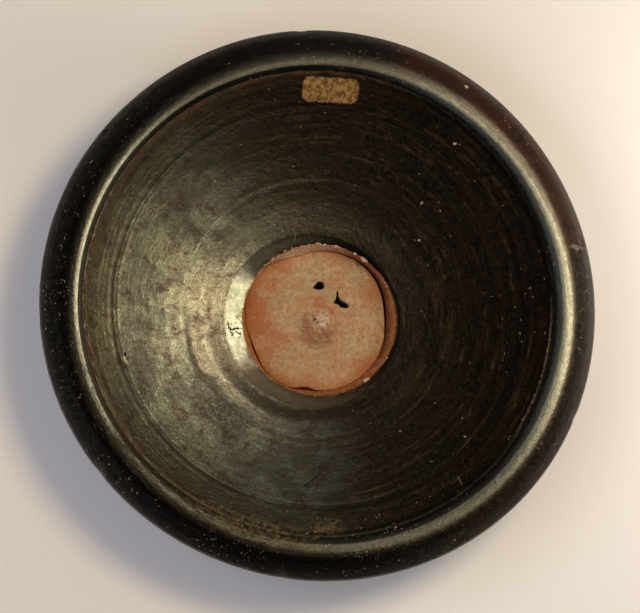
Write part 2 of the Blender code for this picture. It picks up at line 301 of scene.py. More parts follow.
def cross_section():
    """The plate's outline as {stretch: its points}, up the opening's wall, over the rim and back under."""
    section = {}
    ledge = (LEDGE_RADIUS, LEDGE_HEIGHT)
    seat_foot = (SEAT_RADIUS, LEDGE_HEIGHT)
    seat_top = (SEAT_RADIUS, DISC_TOP)
    lip_foot = (LIP_RADIUS, LIP_HEIGHT - LIP_ROUNDING)
    lip_top = (LIP_RADIUS + LIP_ROUNDING, LIP_HEIGHT)
    bevel_end = (BEVEL_RADIUS, BEVEL_HEIGHT)
    section["ledge"] = straight((LEDGE_RADIUS, UNDERSIDE_CLEARANCE), ledge, 2) + straight(ledge, seat_foot, 4)
    section["seat"] = straight(seat_foot, seat_top, 4)
    section["well"] = straight(seat_top, lip_foot, 8)
    section["lip"] = arc((lip_top[0], lip_foot[1]), LIP_ROUNDING, -90, 0, 4)
    section["bevel"] = straight(lip_top, bevel_end, 10)

    groove_start = GROOVE_RADIUS - GROOVE_WIDTH
    shares = [step / BOWL_RINGS for step in range(BOWL_RINGS)]
    radii = [BEVEL_RADIUS + (groove_start - BEVEL_RADIUS) * share for share in shares]
    section["bowl"] = [(radius, bowl_height(radius)) for radius in radii]
    groove = (GROOVE_RADIUS - GROOVE_WIDTH / 3, bowl_height(GROOVE_RADIUS) - GROOVE_DEPTH)
    section["groove"] = straight((groove_start, bowl_height(groove_start)), groove, 3)

    crest = (CREST_RADIUS, CREST_HEIGHT - CREST_ROLL)
    crease = arc_end_centre(crest, CREST_ROLL, CREASE_ANGLE, CREASE_ROLL)
    flank = arc_end_centre(crease, CREASE_ROLL, FLANK_TOP_ANGLE, FLANK_ROLL)
    top, foot = math.sin(math.radians(FACE_TOP_ANGLE)), math.sin(math.radians(FACE_FOOT_ANGLE))
    face_end = RIM_RADIUS - EDGE_ROLL * (1 - foot)
    face_roll = (face_end - CREST_RADIUS - CREST_ROLL * top) / (foot - top)
    face = arc_end_centre(crest, CREST_ROLL, FACE_TOP_ANGLE, face_roll)
    edge = arc_end_centre(face, face_roll, FACE_FOOT_ANGLE, EDGE_ROLL)
    section["crest"] = arc(flank, FLANK_ROLL, FLANK_FOOT_ANGLE, FLANK_TOP_ANGLE, 4)
    section["crest"] += arc(crease, CREASE_ROLL, FLANK_TOP_ANGLE, CREASE_ANGLE, 3)
    section["crest"] += arc(crest, CREST_ROLL, CREASE_ANGLE, FACE_TOP_ANGLE, 10)
    section["groove"] += straight(groove, section["crest"][0], 3)
    section["face"] = arc(face, face_roll, FACE_TOP_ANGLE, FACE_FOOT_ANGLE, 18)
    section["edge"] = arc(edge, EDGE_ROLL, FACE_FOOT_ANGLE, EDGE_END_ANGLE, 12)

    recess_radius = GROOVE_RADIUS + RECESS_SET_OUT
    neck_radius = FOOT_OUTER - FOOT_FLARE
    shares = [step / WALL_RINGS for step in range(1, WALL_RINGS + 1)]
    radii = [recess_radius + (neck_radius - recess_radius) * share for share in shares]
    wall = [(radius, wall_underside(radius)) for radius in radii]
    recess = (recess_radius, wall_underside(recess_radius))
    section["recess"] = rounded(section["edge"][-1], recess, wall[0], RECESS_ROUNDING, 5)
    section["wall"] = wall[:-1]
    band_top, outer_corner, inner_corner = (FOOT_OUTER, FOOT_BAND), (FOOT_OUTER, 0), (FOOT_INNER, 0)
    root = (FOOT_INNER, UNDERSIDE_CLEARANCE + UNDERSIDE_RISE)
    hollow = []
    for share in (0.75, 0.6, 0.45, 0.3, 0.15):
        radius = SEAT_RADIUS + (FOOT_INNER - SEAT_RADIUS) * share
        hollow.append((radius, UNDERSIDE_CLEARANCE + UNDERSIDE_RISE * share**2))
    section["foot"] = rounded(wall[-2], wall[-1], band_top, FOOT_ROOT, 4)
    section["foot"] += straight(section["foot"][-1], band_top, 3)[1:] + straight(band_top, outer_corner, 3)
    section["resting"] = rounded(band_top, outer_corner, inner_corner, FOOT_EDGE, 2)
    section["resting"] += rounded(outer_corner, inner_corner, root, FOOT_EDGE, 2)
    section["hollow"] = rounded(inner_corner, root, hollow[0], FOOT_ROOT, 4) + hollow
    return section


SECTION = cross_section()
OUTLINE = np.array([point for points in SECTION.values() for point in points])
STEPS = np.linalg.norm(np.diff(OUTLINE, axis=0), axis=1)
ALONG = np.concatenate([[0], np.cumsum(STEPS)])
STARTS = [int(start) for start in np.cumsum([0] + [len(points) for points in SECTION.values()])]
FIRST_RING = dict(zip(SECTION, STARTS))
MARKS = {name: ALONG[ring] for name, ring in FIRST_RING.items()}


def smooth(share):
    share = np.clip(share, 0, 1)
    return share * share * (3 - 2 * share)


def ring_centres():
    """Each ring's centre: the seat's, lip's, bevel's or bowl's, changing smoothly from one to the next."""
    radius, height = OUTLINE.T
    x, y = np.full(len(radius), BOWL_CENTRE[0]), np.full(len(radius), BOWL_CENTRE[1])
    on_crest = smooth((radius - GROOVE_RADIUS) / (CREST_RADIUS - GROOVE_RADIUS))
    past_crest = smooth((radius - CREST_RADIUS) / (RIM_RADIUS - CREST_RADIUS))
    in_well = np.clip((height - DISC_TOP) / (LIP_HEIGHT - DISC_TOP), 0, 1)
    lip_end = LIP_RADIUS + LIP_ROUNDING
    in_bevel = np.clip((radius - lip_end) / (BEVEL_RADIUS - lip_end), 0, 1)
    in_bowl = smooth((radius - BEVEL_RADIUS) / BOWL_CENTRING)
    lip_ring, bowl_ring, groove_ring = FIRST_RING["lip"], FIRST_RING["bowl"], FIRST_RING["groove"]
    above_recess = np.arange(len(radius)) < FIRST_RING["recess"]
    for axis, values in enumerate((x, y)):
        values += (CREST_CENTRE[axis] - BOWL_CENTRE[axis]) * on_crest * above_recess
        values *= 1 - past_crest
        seat, lip, bevel, middle = (c[axis] for c in (SEAT_CENTRE, LIP_CENTRE, BEVEL_CENTRE, BOWL_CENTRE))
        values[bowl_ring:groove_ring] = (bevel + (middle - bevel) * in_bowl)[bowl_ring:groove_ring]
        values[lip_ring:bowl_ring] = (lip + (bevel - lip) * in_bevel)[lip_ring:bowl_ring]
        values[:lip_ring] = (seat + (lip - seat) * in_well)[:lip_ring]
    return x, y


def ring_normals():
    """Across each ring, the direction out of the clay, as (outwards, upwards)."""
    tangent = np.roll(OUTLINE, -1, axis=0) - np.roll(OUTLINE, 1, axis=0)
    tangent /= np.linalg.norm(tangent, axis=1)[:, None]
    return -tangent[:, 1], tangent[:, 0]


def window(value, start, end, soft):
    """1 between start and end, falling to 0 over a stretch of soft at each of them."""
    return smooth((value - start) / soft + 0.5) * smooth((end - value) / soft + 0.5)


def angle_from(turn, angle):
    """How far each turn is from the angle, in degrees, from -180 to 180."""
    return (np.degrees(turn) - angle + 180) % 360 - 180


def waves(turn, along, seed, count, most_turns, shortest, longest):
    """Smooth random relief of about -1 to 1 that closes round the plate, as a sum of waves."""
    random = np.random.default_rng(seed)
    total = np.zeros(np.broadcast(turn, along).shape)
    for _ in range(count):
        turns = int(random.integers(-most_turns, most_turns + 1))
        length = random.uniform(shortest, longest)
        total += np.sin(turns * turn + 2 * math.pi * along / length + random.uniform(0, 2 * math.pi))
    return total / math.sqrt(2 * count)


def ripples(x, y, seed, count, shortest, longest):
    """Smooth random relief of about -1 to 1 over a level surface, as a sum of waves in all directions."""
    random = np.random.default_rng(seed)
    total = np.zeros(np.shape(x))
    for _ in range(count):
        length, heading = random.uniform(shortest, longest), random.uniform(0, math.pi)
        phase = random.uniform(0, 2 * math.pi)
        total += np.sin(2 * math.pi / length * (x * math.cos(heading) + y * math.sin(heading)) + phase)
    return total / math.sqrt(2 * count)


# Lines that the turning tool left in the bowl: radius, depth (a ridge's is under 0) and half width, in mm
TURNED_LINES = (
    (90.4, 0.15, 0.50),
    (92.0, 0.17, 0.45),
    (94.9, 0.06, 0.40),
    (97.6, 0.07, 0.35),
    (99.4, 0.06, 0.35),
    (101.4, 0.07, 0.35),
    (102.9, 0.06, 0.30),
    (84.5, 0.02, 0.80),
    (77.0, 0.02, 1.00),
    (68.5, 0.02, 0.90),
    (61.6, 0.03, 0.90),
    (59.8, -0.04, 1.10),
    (52.6, 0.02, 1.20),
    (46.5, 0.02, 0.90),
)

# How much painted shade darkens such a line for each mm of its depth
LINE_SHADE_PER_MM = 8

# Dents and chips: a mark in the cross-section, angle, then distance from the mark, depth, half width, in mm
DENTS = (
    ("bowl", 196.0, 56.0, 0.45, 1.9),
    ("bowl", 128.0, 44.0, 0.20, 2.6),
    ("bowl", 338.0, 46.0, 0.18, 2.4),
    ("bowl", 62.0, 50.0, 0.15, 2.0),
    ("face", 13.0, 4.5, 0.50, 1.9),
    ("face", 13.6, 8.0, 0.40, 1.6),
    ("face", 58.0, 9.0, 0.35, 1.7),
    ("face", 56.0, 5.5, 0.30, 1.4),
    ("face", 262.0, 11.0, 0.35, 2.0),
    ("face", 301.0, 7.0, 0.30, 1.8),
    ("face", 141.0, 8.0, 0.35, 1.8),
    ("edge", 93.0, 1.5, 0.45, 2.2),
    ("edge", 218.0, 1.2, 0.40, 2.4),
    ("edge", 336.0, 1.6, 0.35, 2.0),
)


def plate_relief(turn):
    """How far each point stands out of the true surface: turning marks, wear, dents and chips."""
    radius = OUTLINE[:, :1]
    along = ALONG[:, None]
    bowl = window(along, MARKS["bowl"], MARKS["groove"], 1 * MM)
    rim = window(along, MARKS["crest"], MARKS["recess"], 2 * MM)
    under = window(along, MARKS["recess"], MARKS["resting"], 3 * MM)
    relief = bowl * 0.016 * MM * waves(turn, along, 11, 9, 2, 4 * MM, 11 * MM)
    relief += bowl * 0.12 * MM * waves(turn, along, 12, 8, 5, 40 * MM, 110 * MM)
    relief += rim * 0.07 * MM * waves(turn, along, 13, 10, 9, 18 * MM, 60 * MM)
    relief += rim * 0.018 * MM * waves(turn, along, 14, 8, 3, 2.5 * MM, 5 * MM)
    relief += under * 0.10 * MM * waves(turn, along, 15, 9, 2, 4 * MM, 9 * MM)
    for number, (line, depth, half_width) in enumerate(TURNED_LINES):
        wander = 0.25 * MM * waves(turn, 0, 30 + number, 3, 3, 1, 2)
        strength = 0.75 + 0.45 * waves(turn, 0, 60 + number, 4, 7, 1, 2)
        away = (radius - line * MM - wander) / (half_width * MM)
        relief -= bowl * depth * MM * strength * np.exp(-(away**2))
    for mark, angle, place, depth, half_width in DENTS:
        around = np.radians(angle_from(turn, angle)) * radius
        away = np.hypot(around, along - MARKS[mark] - place * MM) / (half_width * MM)
        relief -= depth * MM * np.exp(-(away**2))
    lip = window(along, MARKS["well"] + 2.5 * MM, MARKS["bevel"] + 0.5 * MM, 1.5 * MM)
    relief -= lip * 0.17 * MM * (1 + waves(turn, along, 16, 14, 26, 6 * MM, 30 * MM))
    return relief


def disc_edge(turn):
    """The disc's radius all round: four soft lobes, less the bites out of its edge."""
    radius = DISC_RADIUS + DISC_LOBE * np.cos(4 * (turn - math.pi / 4))
    for angle, depth, half_width in DISC_BITES:
        radius = radius - depth * MM * np.exp(-((angle_from(turn, angle) / half_width) ** 2))
    return radius - 0.10 * MM * (1 + waves(turn, 0, 40, 14, 34, 1, 2))


def torn_wall(turn, x, y):
    """Brings the foot of the opening's wall in to the disc, so that only a crack is left between them."""
    gap = DISC_BASE_GAP + 0.04 * MM * waves(turn, 0, 41, 12, 30, 1, 2)
    for angle, extra, half_width in CRACK_WIDENINGS:
        gap += extra * MM * np.exp(-((angle_from(turn, angle) / half_width) ** 2))
    foot = np.minimum(SEAT_RADIUS, disc_edge(turn) + gap)
    foot_x = SEAT_CENTRE[0] + foot * np.cos(turn)
    foot_y = SEAT_CENTRE[1] + foot * np.sin(turn)
    for ring in range(FIRST_RING["seat"]):
        share = (OUTLINE[ring, 0] - LEDGE_RADIUS) / (SEAT_RADIUS - LEDGE_RADIUS)
        reach = LEDGE_RADIUS + share * (foot - LEDGE_RADIUS)
        x[ring] = SEAT_CENTRE[0] + reach * np.cos(turn)
        y[ring] = SEAT_CENTRE[1] + reach * np.sin(turn)
    lip = FIRST_RING["lip"]
    x[FIRST_RING["seat"] : FIRST_RING["well"]] = foot_x
    y[FIRST_RING["seat"] : FIRST_RING["well"]] = foot_y
    for ring in range(FIRST_RING["well"], lip):
        share = (OUTLINE[ring, 1] - DISC_TOP) / (OUTLINE[lip, 1] - DISC_TOP)
        x[ring] = foot_x + (x[lip] - foot_x) * share
        y[ring] = foot_y + (y[lip] - foot_y) * share


def warped(x, y):
    """The point moved as the clay sagged while it dried, most at the rim and not at all at the axis."""
    angle = np.arctan2(y, x)
    share = (np.hypot(x, y) / RIM_RADIUS) ** 2
    oval = OVAL_SHARE * np.cos(2 * (angle - math.radians(OVAL_ANGLE)))
    lobes = LOBE_SHARE * np.cos(3 * (angle - math.radians(LOBE_ANGLE)))
    scale = 1 + share * (oval + lobes)
    return x * scale, y * scale


def new_object(name, vertices, faces, material):
    mesh = bpy.data.meshes.new(name)
    mesh.from_pydata([tuple(v) for v in vertices], [], faces)
    mesh.validate()
    mesh.shade_smooth()
    mesh.materials.append(material)
    obj = bpy.data.objects.new(name, mesh)
    bpy.context.scene.collection.objects.link(obj)
    return obj


def ring_faces(rings, segments, closed):
    """Quads between each ring and the next, and from the last to the first where the outline is closed."""
    faces = []
    for ring in range(rings if closed else rings - 1):
        here, after = ring * segments, (ring + 1) % rings * segments
        for segment in range(segments):
            beside = (segment + 1) % segments
            faces.append((here + segment, after + segment, after + beside, here + beside))
    return faces


def make_plate(material):
    """The plate as rings of points, one for each point of the cross-section, with relief and a torn wall."""
    turn = np.linspace(0, 2 * math.pi, SEGMENTS, endpoint=False)[None, :]
    relief = plate_relief(turn)
    outwards, upwards = ring_normals()
    centre_x, centre_y = ring_centres()
    radius = OUTLINE[:, :1] + outwards[:, None] * relief
    height = OUTLINE[:, 1:] + upwards[:, None] * relief
    x = centre_x[:, None] + radius * np.cos(turn)
    y = centre_y[:, None] + radius * np.sin(turn)
    torn_wall(turn[0], x, y)
    x, y = warped(x, y)
    vertices = np.stack([x, y, np.maximum(height, 0)], axis=-1).reshape(-1, 3)
    plate = new_object("plate_body", vertices, ring_faces(len(OUTLINE), SEGMENTS, True), material)
    along = plate.data.attributes.new("along", "FLOAT", "POINT")
    along.data.foreach_set("value", np.repeat(ALONG / MM, SEGMENTS).astype(np.float32))
    return plate


def disc_relief(x, y):
    """How far the disc's top stands above its level, and the fine part of that, in mm: arcs and lumps."""
    x, y = x / MM, y / MM
    (mound_x, mound_y), mound_radius, mound_height = MOUND
    (knob_x, knob_y), knob_radius, knob_height = KNOB
    (pit_x, pit_y), pit_radius, pit_depth = PIT
    from_mound = np.hypot(x - mound_x, y - mound_y)
    from_knob = np.hypot(x - knob_x, y - knob_y)
    around = np.arctan2(y - mound_y, x - mound_x)
    mound = np.exp(-((from_mound / mound_radius) ** 4))
    knob = np.exp(-((from_knob / knob_radius) ** 4))
    lower_left = smooth(0.5 - 0.9 * np.sin(around + 0.6))
    broad = mound_height * mound + knob_height * knob + 0.10 * ripples(x, y, 22, 9, 14, 30)
    fine = (0.30 * knob + 0.14 * mound) * ripples(x, y, 21, 16, 1.6, 3.2)
    fine += 0.09 * ripples(x, y, 23, 24, 1.3, 4.5)
    broken = 0.6 + 0.6 * ripples(x, y, 24, 12, 3, 7)
    for reach, depth in SCRAPED_ARCS:
        away = (from_mound - reach - 0.5 * np.sin(2 * around) - 0.25 * np.sin(5 * around + reach)) / 0.5
        fine -= depth * broken * lower_left * np.exp(-(away**2))
    fine -= pit_depth * np.exp(-((np.hypot(x - pit_x, y - pit_y) / pit_radius) ** 2))
    fine += 0.02 * np.sin(2 * math.pi * np.hypot(x, y) / DISC_MARK_SPACING)
    return (broad + fine) * MM, fine


def make_disc(material):
    """The disc on a polar grid: out over its top, round its edge and back under it, with two torn holes."""
    segments = DISC_SEGMENTS
    turn = np.linspace(0, 2 * math.pi, segments, endpoint=False)
    edge = disc_edge(turn)
    inset = edge - DISC_EDGE_ROUNDING
    rings, fine_relief = [], []
    for share in np.linspace(0.015, 1, DISC_RINGS):
        x, y = inset * share * np.cos(turn), inset * share * np.sin(turn)
        level, fine = disc_relief(x, y)
        rings.append((x, y, DISC_TOP + level))
        fine_relief.append(fine)
    top = rings[-1][2] - DISC_TOP
    for step in range(1, 5):
        tilt = math.pi / 2 * step / 4
        reach = inset + DISC_EDGE_ROUNDING * math.sin(tilt)
        drop = DISC_EDGE_ROUNDING * (1 - math.cos(tilt))
        rings.append((reach * np.cos(turn), reach * np.sin(turn), DISC_TOP - drop + top * math.cos(tilt)))
    for share, height in ((1, 0.55), (0.998, 0.25), (0.99, 0), (0.7, 0), (0.4, 0), (0.05, 0)):
        reach = edge * share
        level = DISC_HEIGHT + height * (DISC_THICKNESS - DISC_EDGE_ROUNDING)
        rings.append((reach * np.cos(turn), reach * np.sin(turn), np.full(segments, level)))
    vertices = [(SEAT_CENTRE[0] + x, SEAT_CENTRE[1] + y, z) for ring in rings for x, y, z in zip(*ring)]
    faces = [face[::-1] for face in ring_faces(len(rings), segments, False)]
    faces.append(tuple(range(segments)))
    last = (len(rings) - 1) * segments
    faces.append(tuple(range(last + segments - 1, last - 1, -1)))
    disc = new_object("clay_disc", vertices, faces, material)
    relief = disc.data.attributes.new("relief", "FLOAT", "POINT")
    plain_rings = [np.zeros(segments)] * (len(rings) - len(fine_relief))
    relief.data.foreach_set("value", np.concatenate(fine_relief + plain_rings).astype(np.float32))
    for name, outline in (("round_hole", ROUND_HOLE), ("torn_hole", TORN_HOLE)):
        cut_hole(disc, name, outline, material)
    return disc


def closed_curve(points, steps):
    """A smooth closed line through the points."""
    curve = []
    for number in range(len(points)):
        a, b, c, d = (Vector(points[(number + shift) % len(points)]) for shift in (-1, 0, 1, 2))
        for step in range(steps):
            t = step / steps
            bend = (2 * a - 5 * b + 4 * c - d) * t**2 + (3 * b - a - 3 * c + d) * t**3
            curve.append(0.5 * (2 * b + (c - a) * t + bend))
    return curve


def cut_hole(disc, name, outline, material):
    """Cuts a hole that narrows a little downwards, as a torn one does."""
    curve = closed_curve(outline, 6)
    middle = sum(curve, Vector((0, 0))) / len(curve)
    levels = ((DISC_TOP + 2 * MM, 1.06), (DISC_TOP - 0.6 * MM, 1.0), (DISC_HEIGHT - MM, 0.93))
    random = np.random.default_rng(len(curve))
    jitter = random.uniform(-0.12, 0.12, (len(curve), 2))
    vertices = []
    for height, share in levels:
        for point, (dx, dy) in zip(curve, jitter):
            place = middle + (point - middle) * share
            x, y = SEAT_CENTRE[0] + (place.x + dx) * MM, SEAT_CENTRE[1] + (place.y + dy) * MM
            vertices.append((x, y, height))
    count = len(curve)
    faces = ring_faces(len(levels), count, False)
    faces.append(tuple(range(count - 1, -1, -1)))
    faces.append(tuple(range(2 * count, 3 * count)))
    cutter = new_object(name, vertices, faces, material)
    work = bmesh.new()
    work.from_mesh(cutter.data)
    bmesh.ops.recalc_face_normals(work, faces=work.faces)
    work.to_mesh(cutter.data)
    work.free()
    cut = disc.modifiers.new(name, "BOOLEAN")
    cut.operation = "DIFFERENCE"
    cut.solver = "EXACT"
    cut.object = cutter
    bpy.context.view_layer.update()
    cut_mesh = bpy.data.meshes.new_from_object(disc.evaluated_get(bpy.context.evaluated_depsgraph_get()))
    disc.modifiers.remove(cut)
    disc.data = cut_mesh
    bpy.data.objects.remove(cutter)


def make_lime_lumps(material):
    """Uneven lumps of lime, each sunk to about its middle in the lip of the opening."""
    random = np.random.default_rng(5)
    work = bmesh.new()
    for middle, spread, count, largest in LIP_LUMPS:
        for _ in range(count):
            turn = math.radians(middle + spread * random.uniform(-1, 1))
            reach = LIP_RADIUS + random.uniform(-0.1, 1.1) * MM
            x, y = LIP_CENTRE[0] + reach * math.cos(turn), LIP_CENTRE[1] + reach * math.sin(turn)
            radius = largest * random.uniform(0.3, 1) ** 2
            length, flat = random.uniform(0.9, 1.7), random.uniform(0.4, 0.65)
            offset = Vector(random.uniform(-50, 50, 3))
            for vertex in bmesh.ops.create_icosphere(work, subdivisions=2, radius=1)["verts"]:
                swell = 1 + 0.6 * noise.noise(vertex.co * 1.3 + offset)
                swell += 0.3 * noise.noise(vertex.co * 3.1 + offset)
                lump = Vector((vertex.co.x, vertex.co.y * length, vertex.co.z * flat)) * swell * radius * MM
                lump.rotate(Matrix.Rotation(turn, 3, "Z"))
                vertex.co = lump + Vector((x, y, LIP_HEIGHT - 0.15 * MM))
    bmesh.ops.recalc_face_normals(work, faces=work.faces)
    mesh = bpy.data.meshes.new("lime_lumps")
    work.to_mesh(mesh)
    work.free()
    mesh.shade_smooth()
    mesh.materials.append(material)
    lumps = bpy.data.objects.new("lime_lumps", mesh)
    bpy.context.scene.collection.objects.link(lumps)
    return lumps


def linear(hexadecimal):
    """An sRGB hex colour as linear values."""
    parts = [int(hexadecimal[i : i + 2], 16) / 255 for i in (1, 3, 5)]
    return (*(part / 12.92 if part <= 0.04045 else ((part + 0.055) / 1.055) ** 2.4 for part in parts), 1.0)


def add(tree, kind, sockets=None, **settings):
    """Adds a node. A socket's value is a number, a colour, or a node or output to link it to."""
    node = tree.nodes.new("ShaderNode" + kind)
    for name, value in settings.items():
        setattr(node, name, value)
    for name, value in (sockets or {}).items():
        if isinstance(value, bpy.types.Node):
            value = next(output for output in value.outputs if output.enabled)
        if isinstance(value, bpy.types.NodeSocket):
            tree.links.new(value, node.inputs[name])
        else:
            node.inputs[name].default_value = value
    return node


def new_material(name):
    material = bpy.data.materials.new(name)
    material.use_nodes = True
    material.node_tree.nodes.clear()
    return material, material.node_tree


def combined(tree, operation, masks):
    """Puts masks together in turn.

    One may be (value, start, end), which rises from 0 to 1 between start and end. Where two more numbers
    follow, it goes from the one to the other instead.
    """
    names = ("Value", "From Min", "From Max", "To Min", "To Max")
    total = None
    for mask in masks:
        if isinstance(mask, tuple):
            mask = add(tree, "MapRange", dict(zip(names, mask)), interpolation_type="SMOOTHSTEP")
        total = mask if total is None else add(tree, "Math", {0: total, 1: mask}, operation=operation)
    return total


def all_of(tree, *masks):
    """Where all of the masks hold: their product."""
    return combined(tree, "MULTIPLY", masks)


def any_of(tree, *masks):
    """Where any of the masks holds: the strongest."""
    return combined(tree, "MAXIMUM", masks)


def none_of(tree, *masks):
    """Where none of the masks holds: what the strongest leaves."""
    return add(tree, "Math", {0: 1.0, 1: any_of(tree, *masks)}, operation="SUBTRACT", use_clamp=True)


def layered(tree, base, *layers):
    """Colours, hex values or nodes' outputs, laid over the base in turn, each as far as its mask goes."""
    colour = linear(base) if isinstance(base, str) else base
    for mask, above in layers:
        sockets = {0: all_of(tree, mask), 6: colour, 7: linear(above) if isinstance(above, str) else above}
        colour = add(tree, "Mix", sockets, data_type="RGBA").outputs[2]
    return colour


def band(tree, value, start, end, soft):
    """1 where the value is between start and end."""
    rise = (value, start - soft / 2, start + soft / 2)
    fall = (value, end - soft / 2, end + soft / 2, 1.0, 0.0)
    return all_of(tree, rise, fall)


def sector(tree, outward, angle, half_width, soft):
    """1 within half_width degrees of the angle."""
    turn = math.radians(angle)
    middle = (math.cos(turn), math.sin(turn), 0)
    along_it = add(tree, "VectorMath", {0: outward, 1: middle}, operation="DOT_PRODUCT")
    far = math.cos(math.radians(min(180, half_width + soft)))
    near = math.cos(math.radians(max(0, half_width - soft)))
    return all_of(tree, (along_it, far, near))


def cloud(tree, where, stretch, detail, rough=0.6):
    """Soft noise, with its cells to each of the place's units as one number or as three, along x, y, z."""
    cells = (stretch,) * 3 if isinstance(stretch, (int, float)) else stretch
    stretched = add(tree, "VectorMath", {0: where, 1: cells}, operation="MULTIPLY")
    return add(tree, "TexNoise", {"Vector": stretched, "Scale": 1.0, "Detail": detail, "Roughness": rough})


def specks(tree, where, stretch, size, share):
    """Small separate flecks, each in its own cell. The share is of the cells, and the size is in cells."""
    stretched = add(tree, "VectorMath", {0: where, 1: stretch}, operation="MULTIPLY")
    cells = add(tree, "TexVoronoi", {"Vector": stretched, "Scale": 1.0}, feature="F1")
    chosen = add(tree, "SeparateXYZ", {0: cells.outputs["Color"]})
    reach = all_of(tree, size, chosen.outputs["Y"])
    inside = add(tree, "Math", {0: cells.outputs["Distance"], 1: reach}, operation="LESS_THAN")
    picked = add(tree, "Math", {0: chosen.outputs["X"], 1: share}, operation="LESS_THAN")
    return all_of(tree, inside, picked)


def spot(tree, where, x, y, size, stretch=(1, 1, 0), soft=0.6):
    """1 within size of the point x, y, in mm."""
    away = add(tree, "VectorMath", {0: where, 1: (x, y, 0)}, operation="SUBTRACT")
    scaled = add(tree, "VectorMath", {0: away, 1: stretch}, operation="MULTIPLY")
    length = add(tree, "VectorMath", {0: scaled}, operation="LENGTH").outputs["Value"]
    return all_of(tree, (length, size - soft / 2, size + soft / 2, 1.0, 0.0))


def beside_line(tree, where, start, end):
    """How far a point is from the middle of a line between two points in mm, along it and across it."""
    first, last = Vector((*start, 0)), Vector((*end, 0))
    heading = (last - first).normalized()
    away = add(tree, "VectorMath", {0: where, 1: tuple((first + last) / 2)}, operation="SUBTRACT")
    lengthways = add(tree, "VectorMath", {0: away, 1: tuple(heading)}, operation="DOT_PRODUCT")
    sideways = add(tree, "VectorMath", {0: away, 1: (-heading.y, heading.x, 0)}, operation="DOT_PRODUCT")
    along_it = add(tree, "Math", {0: lengthways}, operation="ABSOLUTE")
    across_it = add(tree, "Math", {0: sideways}, operation="ABSOLUTE")
    return along_it, across_it, (last - first).length / 2


def stroke(tree, where, start, end, width):
    """1 within the width of a straight line between two points in mm, fading at its ends."""
    along_it, across_it, half = beside_line(tree, where, start, end)
    return all_of(tree, (along_it, half * 0.6, half, 1.0, 0.0), (across_it, width * 0.4, width, 1.0, 0.0))


def plaque(tree, where, start, end, half_height, rounding):
    """1 within a bar with rounded corners between two points in mm."""
    along_it, across_it, half = beside_line(tree, where, start, end)
    past = add(tree, "Math", {0: along_it, 1: half - rounding}, operation="SUBTRACT")
    above = add(tree, "Math", {0: across_it, 1: half_height - rounding}, operation="SUBTRACT")
    corner = add(tree, "CombineXYZ", {0: any_of(tree, past, 0.0), 1: any_of(tree, above, 0.0)})
    reach = add(tree, "VectorMath", {0: corner}, operation="LENGTH").outputs["Value"]
    return all_of(tree, (reach, rounding - 0.3, rounding + 0.3, 1.0, 0.0))


def in_millimetres(tree):
    """Where a point of the piece is, in mm."""
    place = add(tree, "TexCoord").outputs["Object"]
    return add(tree, "VectorMath", {0: place, 1: (1000, 1000, 1000)}, operation="MULTIPLY")


def shaken(tree, flat, noise_texture, reach):
    """A level place pushed about over a reach in mm, so that what is drawn there has ragged edges."""
    push = noise_texture.outputs["Color"]
    push = add(tree, "VectorMath", {0: push, 1: (0.5, 0.5, 0.5)}, operation="SUBTRACT")
    push = add(tree, "VectorMath", {0: push, 1: (reach, reach, 0)}, operation="MULTIPLY")
    return add(tree, "VectorMath", {0: flat, 1: push}, operation="ADD")


def down_bowl(radius):
    """The distance along the cross-section, in mm, where the bowl has that radius in mm."""
    bowl = slice(FIRST_RING["bowl"], FIRST_RING["groove"])
    return float(np.interp(radius * MM, OUTLINE[bowl, 0], ALONG[bowl])) / MM


def at(name, shift=0.0):
    """The distance along the cross-section, in mm, of one of its marks."""
    return MARKS[name] / MM + shift


